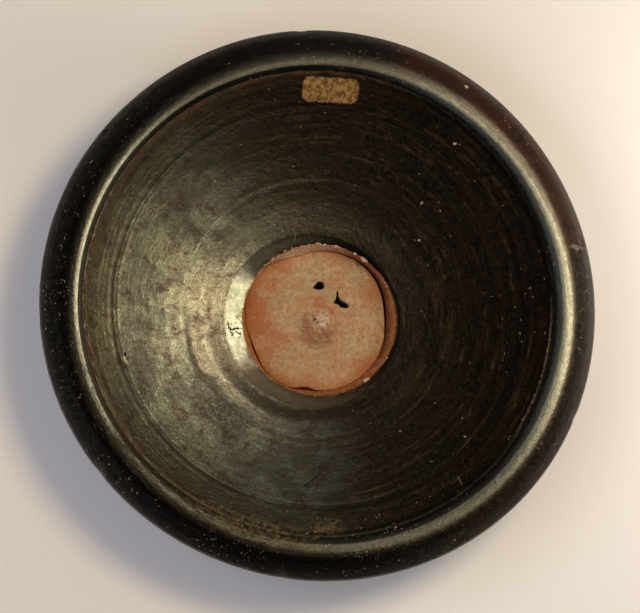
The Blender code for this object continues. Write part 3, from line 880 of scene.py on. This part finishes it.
class Places:
    """Where a point of the plate is, and the noise over it that several kinds of wear share.

    place, flat and radius are in mm from the middle, along is in mm down the cross-section, and outward is a
    direction. round is along and outward together, for streaks that run round the plate. The ragged ones and
    the wavy one are shaken, so that what is drawn by them has worn edges.
    """

    def __init__(self, tree):
        self.tree = tree
        self.place = in_millimetres(tree)
        self.flat = add(tree, "VectorMath", {0: self.place, 1: (1, 1, 0)}, operation="MULTIPLY")
        self.radius = add(tree, "VectorMath", {0: self.flat}, operation="LENGTH").outputs["Value"]
        self.outward = add(tree, "VectorMath", {0: self.flat}, operation="NORMALIZE")
        self.along = add(tree, "Attribute", attribute_name="along").outputs["Fac"]
        upright = add(tree, "CombineXYZ", {2: self.along})
        self.round = add(tree, "VectorMath", {0: self.outward, 1: upright}, operation="ADD")
        shake = cloud(tree, self.place, 0.9, 3)
        self.ragged = shaken(tree, self.flat, shake, 2.4)
        wander = add(tree, "Math", {0: shake, 1: 0.5}, operation="SUBTRACT")
        self.ragged_along = add(tree, "Math", {0: wander, 1: 3.0, 2: self.along}, operation="MULTIPLY_ADD")
        swell = cloud(tree, self.place, 0.07, 4, 0.55)
        sway = add(tree, "Math", {0: swell, 1: 0.5}, operation="SUBTRACT")
        self.wavy_radius = add(tree, "Math", {0: sway, 1: 16.0, 2: self.radius}, operation="MULTIPLY_ADD")

        self.bowl = band(tree, self.along, at("bowl", 1), at("groove", -0.5), 2.0)
        self.rim = band(tree, self.along, at("crest"), at("recess"), 1.0)

        # Turning streaks 0.8 mm wide and wiping streaks 4.5 mm wide, and wear in patches of 22, 6 and 2.4 mm.
        # The slip's own grain is too fine to show and is drawn 0.8 mm coarse.
        self.fine = cloud(tree, self.round, (5.0, 5.0, 1.3), 3, 0.7)
        self.wiped = cloud(tree, self.round, (3.0, 3.0, 0.22), 5, 0.66)
        self.broad = cloud(tree, self.place, 0.045, 6, 0.70)
        self.mottled = cloud(tree, self.place, 0.16, 5, 0.68)
        self.blotched = cloud(tree, self.ragged, 0.42, 4, 0.72)
        self.grain = cloud(tree, self.place, 1.3, 3, 0.75)

    def facing(self, angle, half_width, soft):
        """1 within half_width degrees of the angle."""
        return sector(self.tree, self.outward, angle, half_width, soft)

    def swath(self, value, start, end, soft, angle, half_width, fade):
        """1 in a part of a ring: between two values, and within half_width degrees of the angle."""
        ring = band(self.tree, value, start, end, soft)
        return all_of(self.tree, ring, self.facing(angle, half_width, fade))


def slip_colour(tree, p):
    """The slip's own colour: black on the rim, browner in the bowl and where it is thin."""
    reddish = all_of(tree, p.facing(30, 80, 45), (p.wiped, 0.46, 0.58), 0.7)
    swept = (cloud(tree, p.round, (2.6, 2.6, 0.34), 6, 0.80), 0.53, 0.62)
    golden = p.swath(p.wavy_radius, 51, 63, 6, 345, 38, 14)
    golden = all_of(tree, golden, (p.wiped, 0.46, 0.58, 0.0, 0.6), (p.grain, 0.44, 0.58, 0.2, 1.0))
    brown = layered(
        tree,
        "#050403",
        ((p.blotched, 0.44, 0.56), "#20150c"),
        ((p.grain, 0.52, 0.64, 0.0, 0.6), "#38291a"),
        (reddish, "#2f1a0f"),
        (all_of(tree, swept, (p.mottled, 0.40, 0.60), 0.7), "#624a2c"),
        (golden, "#5a4626"),
    )
    return layered(tree, "#0a0909", ((p.mottled, 0.40, 0.64), "#16110d"), (p.bowl, brown))


def lay_bowl_sheen_film(tree, p, colour):
    """A thin film of wear with a metallic gleam, green-grey or, nearer the opening, pinkish brown, and
    painted sheen: it is kept to the left, where the lamp's reflection falls.
    """
    inner = all_of(tree, (p.wavy_radius, 55.5, 57.5, 1.0, 0.0), p.facing(203, 46, 16))
    thick = any_of(tree, (p.broad, 0.43, 0.54), inner)
    # Painted sheen: the film is kept to the left of the bowl, where the lamp's reflection falls
    sheen_film = all_of(tree, p.bowl, p.facing(198, 60, 34), add(tree, "Mix", {0: thick, 2: 0.35, 3: 1.0}))
    metal = layered(
        tree,
        "#a6b0a3",
        (any_of(tree, (p.mottled, 0.50, 0.60), all_of(tree, inner, 0.7)), "#b4a8a1"),
        ((p.grain, 0.46, 0.60, 0.0, 0.6), "#57493a"),
        (all_of(tree, (p.wavy_radius, 90.5, 92.5), 0.7), "#76705c"),
    )
    return layered(tree, colour, (all_of(tree, sheen_film, 0.75), metal)), sheen_film


def wipe_bowl(tree, p, colour):
    """Dark brown bands where the film is wiped away, brown stains, and painted shade in the turning tool's
    fine lines.
    """
    band_by_opening = all_of(tree, p.swath(p.wavy_radius, 44.0, 50.0, 4.0, 262, 35, 18), 0.7)
    smear = all_of(tree, p.swath(p.wavy_radius, 58.0, 72.0, 7.0, 228, 10, 7), 0.85)
    stains = all_of(tree, p.bowl, (p.mottled, 0.55, 0.62), 0.6)
    smeared = any_of(tree, band_by_opening, smear, stains)
    smeared = all_of(tree, smeared, (p.blotched, 0.38, 0.52, 0.45, 1.0))
    wiped = any_of(tree, all_of(tree, p.swath(p.wavy_radius, 56.5, 60.5, 3.0, 211, 27, 10), 0.85), smeared)
    threads = (cloud(tree, p.round, (2.0, 2.0, 2.6), 2), 0.55, 0.68)

    # Painted shade in the turned lines, darker the deeper each line is cut
    line_shade = []
    for radius, depth, half_width in TURNED_LINES:
        if depth > 0:
            middle = down_bowl(radius)
            cut = band(tree, p.along, middle - half_width / 2, middle + half_width / 2, half_width)
            line_shade.append(all_of(tree, cut, min(1.0, LINE_SHADE_PER_MM * depth)))
    line_shade = all_of(tree, any_of(tree, *line_shade), (p.fine, 0.36, 0.54, 0.35, 1.0))
    colour = layered(
        tree,
        colour,
        (wiped, "#2a1e12"),
        (all_of(tree, p.bowl, threads, 0.35), "#5a4a34"),
        (all_of(tree, line_shade, 0.8), "#140b05"),
    )
    return colour, any_of(tree, wiped, line_shade)


def wear_crest(tree, p, colour):
    """A grey film on the crest with a sharp outer edge, rubbed at lower left. It is partly painted sheen,
    strongest at right and left, where the lamp's highlights fall.
    """
    reach = add(tree, "Mix", {0: p.facing(330, 45, 25), 2: 5.6, 3: 7.8})
    beyond = add(tree, "Math", {0: p.ragged_along, 1: reach}, operation="SUBTRACT")
    crest = all_of(tree, p.rim, (beyond, at("crest", -0.3), at("crest", 0.3), 1.0, 0.0))
    # Painted highlight: the crest's grey film is made strongest at right and left, where the lamp's
    # reflections fall
    highlit_sides = any_of(tree, p.facing(18, 42, 24), p.facing(172, 26, 24))
    sheen_film = all_of(
        tree,
        crest,
        (p.along, at("crest"), at("crest", 4.5), 0.25, 1.0),
        add(tree, "Mix", {0: highlit_sides, 2: 0.16, 3: 1.0}),
        (p.fine, 0.3, 0.7, 0.6, 0.95),
    )
    worn = all_of(tree, band(tree, p.along, at("crest"), at("crest", 11), 2.0), none_of(tree, highlit_sides), 0.90)
    rubbed = p.swath(p.ragged_along, at("crest", -1), at("crest", 9), 2.0, 230, 36, 14)
    rubbed = all_of(tree, rubbed, (cloud(tree, p.round, (14, 14, 0.9), 5, 0.8), 0.44, 0.58))
    colour = layered(tree, colour, (sheen_film, "#8c9086"), (all_of(tree, rubbed, 0.85), "#3c2a16"))
    return colour, sheen_film, all_of(tree, crest, highlit_sides), worn, rubbed


def colour_face(tree, p, colour):
    """Brown misfired slip on the rim's face, ending sharply at the top, greyish brown blotches at the right,
    and a greyer edge at the left that is a painted reflection of the floor.
    """
    face = band(tree, p.ragged_along, at("crest", 7.0), at("recess", -6), 2.0)
    misfired = all_of(tree, face, p.facing(42, 30, 3), (p.mottled, 0.30, 0.55), 0.85)
    greyish_right_face = all_of(tree, face, p.facing(338, 42, 20), (p.blotched, 0.35, 0.65, 0.3, 1.0), 0.7)
    # Painted reflection: the edge at the left is greyed as if it mirrored the floor
    edge = p.swath(p.ragged_along, at("edge", -9), at("recess"), 3.0, 175, 50, 25)
    edge = all_of(tree, edge, (p.blotched, 0.35, 0.6, 0.3, 0.8))
    return layered(tree, colour, (misfired, "#44200f"), (greyish_right_face, "#44362a"), (edge, "#2e2d26"))


def wear_groove(tree, p, colour):
    """The groove's worn edges show the clay, most at the left. Elsewhere it is darkened with painted shade,
    and a pale line at the lower right is a painted glint.
    """
    left = add(tree, "Mix", {0: p.facing(165, 90, 20), 2: 0.25, 3: 1.0})
    worn = band(tree, p.ragged_along, at("groove", 0.0), at("crest", -0.1), 0.8)
    worn = all_of(tree, worn, left, (cloud(tree, p.round, (16, 16, 0.5), 4, 0.65), 0.42, 0.58))
    stained = band(tree, p.ragged_along, at("groove", -3.6), at("groove", 0.5), 2.6)
    # Painted shade: away from the left, the groove is darkened as a deep groove's shade
    dark = band(tree, p.ragged_along, at("groove", -1.6), at("crest", 1.0), 1.2)
    dark = all_of(tree, dark, none_of(tree, left), 0.85)
    # A painted glint along the groove's outer edge at the lower right
    glint_line = p.swath(p.ragged_along, at("groove", -0.3), at("groove", 0.5), 0.5, 342, 14, 8)
    colour = layered(
        tree,
        colour,
        (all_of(tree, worn, 0.8), "#6a4020"),
        (all_of(tree, stained, left, 0.65), "#3a2814"),
        (dark, "#060403"),
        (all_of(tree, glint_line, (p.fine, 0.40, 0.56, 0.2, 0.9)), "#8a7658"),
    )
    return colour, worn, any_of(tree, all_of(tree, stained, 0.7), dark)


def lay_crust(tree, p, colour):
    """Ochre crust in 2 mm lumps: over groove and crest at the bottom, in a column and along the groove."""
    over_crest = p.swath(p.ragged_along, at("groove", -2.5), at("crest", 6), 3.0, 252, 13, 7)
    column = p.swath(p.ragged_along, at("groove", -8), at("groove", 0), 3.0, 271, 3.6, 2.0)
    along_groove = p.swath(p.ragged_along, at("groove", -1.5), at("crest", 1.2), 1.6, 205, 55, 20)
    along_groove = all_of(tree, along_groove, (p.fine, 0.46, 0.60, 0.0, 0.8))
    lumpy = (cloud(tree, p.place, 0.45, 7, 0.80), 0.46, 0.58)
    crust = all_of(tree, lumpy, any_of(tree, over_crest, column, along_groove), 0.7)
    return layered(tree, colour, (crust, "#806c48")), crust


def fleck(tree, p, colour):
    """Cream and brown flecks where the slip popped off, many on the rim and near the groove, and a chip."""
    near_groove = band(tree, p.along, at("groove", -12), at("recess"), 6.0)
    many = any_of(tree, all_of(tree, near_groove, p.facing(225, 75, 40)), all_of(tree, p.rim, 0.45), 0.10)
    streaky = specks(tree, p.round, (70, 70, 1.4), 0.34, all_of(tree, many, 0.20))
    dots = specks(tree, p.ragged, (1.0, 1.0, 1.0), 0.30, all_of(tree, many, 0.26))
    sparse = specks(tree, p.ragged, (0.5, 0.5, 0.5), 0.15, 0.40)
    in_sight = band(tree, p.along, at("bowl", 1), at("wall"), 2.0)
    flecks = all_of(tree, in_sight, any_of(tree, streaky, dots, sparse), (p.broad, 0.36, 0.50))
    cream = layered(tree, "#8c7452", ((p.mottled, 0.42, 0.56), "#c8b690"))
    colour = layered(tree, colour, (all_of(tree, flecks, 0.7), cream))
    for angle, radius, size in FLECKS:
        turn = math.radians(angle)
        mark = spot(tree, p.ragged, radius * math.cos(turn), radius * math.sin(turn), size)
        colour = layered(tree, colour, (mark, "#cdbfa2"))
    chip = spot(tree, p.ragged, *RIM_CHIP, CHIP_SIZE, CHIP_STRETCH, 1.2)
    chip = all_of(tree, chip, (p.grain, 0.42, 0.56, 0.2, 0.9))
    return layered(tree, colour, (chip, "#8a7e6a")), any_of(tree, all_of(tree, flecks, 0.8), chip)


def bare_patch(tree, p, colour):
    """A bare buff patch near the bowl's upper edge."""
    patch = all_of(tree, p.bowl, plaque(tree, p.ragged, *PATCH_ENDS, PATCH_HALF_HEIGHT, PATCH_ROUNDING))
    buff = layered(tree, "#745430", ((p.blotched, 0.42, 0.58), "#a58656"))
    return layered(tree, colour, (patch, buff)), patch


def wear_bevel(tree, p, colour):
    """Polished wear on the bevel round the opening at the left, with black flakes, and dirt elsewhere. The
    polish's pale colour is kept where the lamp's reflection falls, a painted highlight as well.
    """
    bevel = band(tree, p.ragged_along, at("lip", 0.5), at("bowl", 0.8), 0.8)
    # Painted highlight: pale polish only at the left, where the lamp's reflection falls on the bevel
    polish_and_highlight = all_of(tree, bevel, p.facing(181, 31, 8))
    dirty = all_of(tree, bevel, any_of(tree, p.facing(276, 57, 12), p.facing(118, 30, 10)))
    ochre = all_of(tree, bevel, p.facing(260, 52, 14), (p.blotched, 0.38, 0.54, 0.2, 0.85))
    flakes = p.swath(p.along, at("lip", 0.5), at("bowl", 4), 1.0, 189, 8, 2)
    flakes = all_of(tree, flakes, (cloud(tree, p.place, 0.40, 5, 0.78), 0.55, 0.56))
    colour = layered(
        tree,
        colour,
        (all_of(tree, polish_and_highlight, 0.9), "#98a298"),
        (all_of(tree, dirty, (p.blotched, 0.35, 0.60, 0.35, 0.75)), "#20160d"),
        (ochre, "#46321a"),
        (flakes, "#080503"),
    )
    return colour, polish_and_highlight, dirty


def scratch(tree, p, colour):
    """Dark scratches down to the clay's dirt, and light ones in the slip alone."""
    dark = any_of(tree, *(stroke(tree, p.ragged, *line) for line in DARK_SCRATCHES))
    colour = layered(tree, colour, (dark, "#050302"))
    for line in LIGHT_SCRATCHES:
        colour = layered(tree, colour, (all_of(tree, stroke(tree, p.flat, *line), 0.75), "#8d7a5c"))
    return colour, dark


def bare_rings(tree, p, colour):
    """Bare clay: the opening's wall and lip, the foot's resting ring and the middle of its hollow. The wall
    has painted shade low down at the right.
    """
    wall = all_of(tree, (p.ragged_along, at("lip", 0.2), at("lip", 1.0), 1.0, 0.0))
    resting = band(tree, p.ragged_along, at("resting", -0.5), at("hollow", -4.0), 0.8)
    bare = any_of(tree, wall, resting, (p.along, at("hollow", 3), at("hollow", 5)))
    torn = all_of(tree, wall, p.facing(115, 42, 15), (p.grain, 0.40, 0.6, 0.4, 1.0))
    # Painted shade: the wall is darkened low down at the right, beside the disc
    shade_low_on_wall = (p.ragged_along, at("well", 0.0), at("well", 4.5), 0.75, 0.05)
    clay = layered(
        tree,
        "#a06236",
        ((p.blotched, 0.35, 0.65), "#c08a58"),
        (torn, "#e2c4a4"),
        (all_of(tree, wall, p.facing(12, 44, 14), shade_low_on_wall), "#4a2a17"),
    )
    return layered(tree, colour, (bare, clay)), bare


def black_slip():
    """Black gloss over red clay: an iron-rich slip, rubbed smooth and fired, worn to a broken satin sheen."""
    material, tree = new_material("worn_black_slip")
    p = Places(tree)
    colour, sheen_film = lay_bowl_sheen_film(tree, p, slip_colour(tree, p))
    colour, wiped_and_line_shade = wipe_bowl(tree, p, colour)
    colour, crest_sheen_film, crest_highlit_sides, crest_worn, rubbed = wear_crest(tree, p, colour)
    colour = colour_face(tree, p, colour)
    colour, groove_worn, groove_stain_and_shade = wear_groove(tree, p, colour)
    colour, crust = lay_crust(tree, p, colour)
    colour, flecks = fleck(tree, p, colour)
    colour, patch = bare_patch(tree, p, colour)
    colour, polish_and_highlight, dirty_bevel = wear_bevel(tree, p, colour)
    colour, scratched = scratch(tree, p, colour)
    colour, bare = bare_rings(tree, p, colour)

    # What is bare or dirty is dull, and the gloss is broken up by wear
    half_dull = ((groove_worn, 0.9), (dirty_bevel, 0.3), (rubbed, 0.7))
    half_dull = (all_of(tree, mask, share) for mask, share in half_dull)
    dull = any_of(tree, bare, patch, flecks, crust, scratched, *half_dull)
    gloss = none_of(tree, dull)
    filmed = all_of(tree, p.bowl, p.facing(203, 46, 32), (p.radius, 104, 88))
    filmed = any_of(tree, filmed, polish_and_highlight, crest_highlit_sides)
    shadowed = any_of(tree, wiped_and_line_shade, groove_stain_and_shade, dirty_bevel, crest_worn)
    unevenly_worn = all_of(
        tree,
        (p.wiped, 0.40, 0.60, 1.0, 0.70),
        (p.fine, 0.40, 0.62, 1.0, 0.80),
        (p.broad, 0.44, 0.56, 0.75, 1.0),
        (p.mottled, 0.44, 0.57, 1.0, 0.55),
        (p.blotched, 0.44, 0.58, 1.0, 0.68),
        (p.grain, 0.45, 0.61, 1.0, 0.68),
    )
    coat = all_of(
        tree,
        gloss,
        add(tree, "Mix", {0: all_of(tree, p.rim, 0.7), 2: unevenly_worn, 3: 0.36}),
        add(tree, "Mix", {0: filmed, 2: 0.55, 3: 1.0}),
        none_of(tree, all_of(tree, shadowed, 0.72)),
    )
    gleam = any_of(tree, all_of(tree, sheen_film, 0.9), all_of(tree, polish_and_highlight, 0.6), all_of(tree, crest_sheen_film, 0.5))
    satin = all_of(tree, (p.blotched, 0.30, 0.70, 0.34, 0.48))

    pitted = add(tree, "Math", {0: p.grain, 1: 0.40, 2: p.blotched}, operation="MULTIPLY_ADD")
    heights = add(tree, "Math", {0: p.fine, 1: 0.20, 2: pitted}, operation="MULTIPLY_ADD")
    bump = add(tree, "Bump", {"Height": heights, "Strength": 1.0, "Distance": 0.00018})

    # The slip is a glass, and the coat's higher IOR stands for the gleam of the iron oxides at its surface
    sockets = {
        "Base Color": colour,
        "Metallic": all_of(tree, gloss, gleam, none_of(tree, all_of(tree, shadowed, 0.7))),
        "Roughness": add(tree, "Mix", {0: dull, 2: satin, 3: 0.92}),
        "IOR": 1.9,
        "Coat Weight": coat,
        "Coat Roughness": 0.30,
        "Coat IOR": 3.5,
        "Normal": bump,
        "Coat Normal": bump,
    }
    add(tree, "OutputMaterial", {"Surface": add(tree, "BsdfPrincipled", sockets)})
    return material


def bare_clay():
    """Fired clay without slip, salmon to buff, matt and chalky, with orange patches and ground dirt."""
    material, tree = new_material("bare_fired_clay")
    place = in_millimetres(tree)
    centre = (SEAT_CENTRE[0] / MM, SEAT_CENTRE[1] / MM, 0)
    centred = add(tree, "VectorMath", {0: place, 1: centre}, operation="SUBTRACT")
    flat = add(tree, "VectorMath", {0: centred, 1: (1, 1, 0)}, operation="MULTIPLY")
    ragged = shaken(tree, flat, cloud(tree, place, 0.35, 4), 9)

    # Patches of 9 and 2.4 mm, wiping streaks about 1.5 mm wide, and the clay's grain, drawn half a mm coarse
    broad = cloud(tree, place, 0.11, 4)
    middle = cloud(tree, place, 0.42, 4, 0.65)
    streaks = cloud(tree, ragged, (0.55, 0.85, 0.7), 5, 0.75)
    grain = cloud(tree, place, 2.2, 3, 0.7)
    from_middle = add(tree, "VectorMath", {0: ragged}, operation="LENGTH").outputs["Value"]
    colour = layered(
        tree,
        "#cfa884",
        ((broad, 0.42, 0.58), "#c8ae8c"),
        ((middle, 0.50, 0.64, 0.0, 0.6), "#d6bc9a"),
        ((streaks, 0.50, 0.60, 0.0, 0.6), "#b08058"),
        ((from_middle, 27.5, 32.0, 0.0, 0.55), "#b87c4c"),
    )
    for x, y, size, strength in ORANGE_PATCHES:
        patch = spot(tree, ragged, x, y, size, soft=size * 1.1)
        colour = layered(tree, colour, (all_of(tree, patch, strength), "#bf7e54"))
    for x, y, size, strength in PALE_PATCHES:
        patch = spot(tree, ragged, x, y, size, soft=size)
        colour = layered(tree, colour, (all_of(tree, patch, (middle, 0.40, 0.60), strength), "#d8c6a4"))

    # A whitish knob in a dark ring, then pits, pale specks, grain, painted shade in the relief's hollows and
    # a painted highlight on its heights
    knob = spot(tree, flat, *KNOB[0], 3.6, soft=2.0)
    knob = all_of(tree, knob, (cloud(tree, place, 0.45, 3), 0.42, 0.52), 0.7)
    inside_ring = spot(tree, ragged, *DARK_RING_INSIDE, 6.2, soft=3.0)
    dark_ring = all_of(tree, spot(tree, ragged, *DARK_RING, 8.5, soft=3.0), none_of(tree, inside_ring), 0.4)
    pits = specks(tree, ragged, (0.9, 0.9, 0.9), 0.28, 0.28)
    pale = specks(tree, place, (1.1, 1.1, 1.1), 0.20, 0.08)
    relief = add(tree, "Attribute", attribute_name="relief").outputs["Fac"]
    colour = layered(
        tree,
        colour,
        (knob, "#f0dccb"),
        (dark_ring, "#946a5a"),
        (all_of(tree, pits, 0.45), "#6e4630"),
        (all_of(tree, pale, 0.5), "#e2d2b8"),
        ((grain, 0.50, 0.64, 0.0, 0.4), "#a07858"),
        # Painted shade in the relief's hollows and painted highlight on its heights
        ((relief, -0.22, 0.0, 0.35, 0.0), "#80543e"),
        ((relief, 0.02, 0.22, 0.0, 0.5), "#e0c4a8"),
    )
    height = add(tree, "Math", {0: middle, 1: 1.6, 2: grain}, operation="MULTIPLY_ADD")
    bump = add(tree, "Bump", {"Height": height, "Strength": 1.0, "Distance": 0.0004})
    sockets = {"Base Color": colour, "Roughness": 0.88, "IOR": 1.45, "Normal": bump}
    add(tree, "OutputMaterial", {"Surface": add(tree, "BsdfPrincipled", sockets)})
    return material


def lime():
    """Lime and clay dried on the lip as a matt, rough crust, whitish to pink in patches about a mm wide."""
    material, tree = new_material("lime_crust")
    place = in_millimetres(tree)
    colour = layered(tree, "#b88a6c", ((cloud(tree, place, 0.9, 3), 0.35, 0.65), "#dcc6aa"))
    bump = add(tree, "Bump", {"Height": cloud(tree, place, 3, 3), "Strength": 0.6, "Distance": 0.0001})
    sockets = {"Base Color": colour, "Roughness": 0.9, "Normal": bump}
    add(tree, "OutputMaterial", {"Surface": add(tree, "BsdfPrincipled", sockets)})
    return material


def make_floor():
    """Pale paper, matt, which glows a little except beneath the plate: the glow is painted fill light in the
    shadows.
    """
    material, tree = new_material("pale_paper")
    place = add(tree, "TexCoord").outputs["Object"]
    away = add(tree, "VectorMath", {0: place}, operation="LENGTH").outputs["Value"]
    sockets = {
        "Base Color": linear("#ece4da"),
        "Roughness": 0.8,
        "IOR": 1.4,
        # Painted fill light: the paper glows, except beneath the plate
        "Emission Color": linear("#e8eaf2"),
        "Emission Strength": all_of(tree, (away, 0.095, 0.125, 0.0, 0.07)),
    }
    add(tree, "OutputMaterial", {"Surface": add(tree, "BsdfPrincipled", sockets)})
    corners = [(x * FLOOR_REACH, y * FLOOR_REACH, 0) for x, y in ((-1, -1), (1, -1), (1, 1), (-1, 1))]
    new_object("floor", corners, [(0, 1, 2, 3)], material)


def make_camera():
    tilt, turn = math.radians(VIEW_TILT), math.radians(VIEW_TURN)
    back = Vector((math.sin(tilt) * math.cos(turn), math.sin(tilt) * math.sin(turn), math.cos(tilt)))
    camera = bpy.data.objects.new("camera", bpy.data.cameras.new("camera"))
    bpy.context.scene.collection.objects.link(camera)
    camera.data.sensor_width = SENSOR_WIDTH
    camera.data.lens = SENSOR_WIDTH * VIEW_DISTANCE / (PIXEL_SIZE * PHOTO_WIDTH)
    camera.data.clip_end = 20
    facing = Vector((0, 0, 1)).rotation_difference(back).to_matrix().to_4x4()
    camera.matrix_world = Matrix.Translation(Vector(VIEW_CENTRE) + back * VIEW_DISTANCE) @ facing
    bpy.context.scene.camera = camera


def make_light(name, turn, elevation, distance, size, power, colour, unlit):
    """A square soft light that faces the plate. What is unlit by it, gloss or the rest, takes none of it."""
    light = bpy.data.lights.new(name, "AREA")
    light.size = size
    light.energy = power
    light.color = linear(colour)[:3]
    obj = bpy.data.objects.new(name, light)
    bpy.context.scene.collection.objects.link(obj)
    a, e = math.radians(turn), math.radians(elevation)
    towards = Vector((math.cos(a) * math.cos(e), math.sin(a) * math.cos(e), math.sin(e)))
    obj.location = towards * distance
    obj.rotation_euler = towards.to_track_quat("Z", "Y").to_euler()
    obj.visible_camera = False
    obj.visible_glossy = unlit != "gloss"
    obj.visible_diffuse = unlit != "rest"


def make_room():
    """The room's own light, dim and cool."""
    world = bpy.data.worlds.new("room")
    bpy.context.scene.world = world
    world.use_nodes = True
    tree = world.node_tree
    tree.nodes.clear()
    background = add(tree, "Background", {"Color": linear("#b4bccc"), "Strength": 0.012})
    add(tree, "OutputWorld", {"Surface": background})


scene = bpy.context.scene
scene.view_settings.view_transform = "Standard"
scene.view_settings.look = "High Contrast"
plate = make_plate(black_slip())
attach(plate, "root")
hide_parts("plate")
disc = make_disc(bare_clay())
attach(disc, "root")
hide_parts("centre_disc")
lumps = make_lime_lumps(lime())
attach(lumps, "root")
make_floor()
make_camera()
for light in LIGHTS:
    make_light(*light)
make_room()
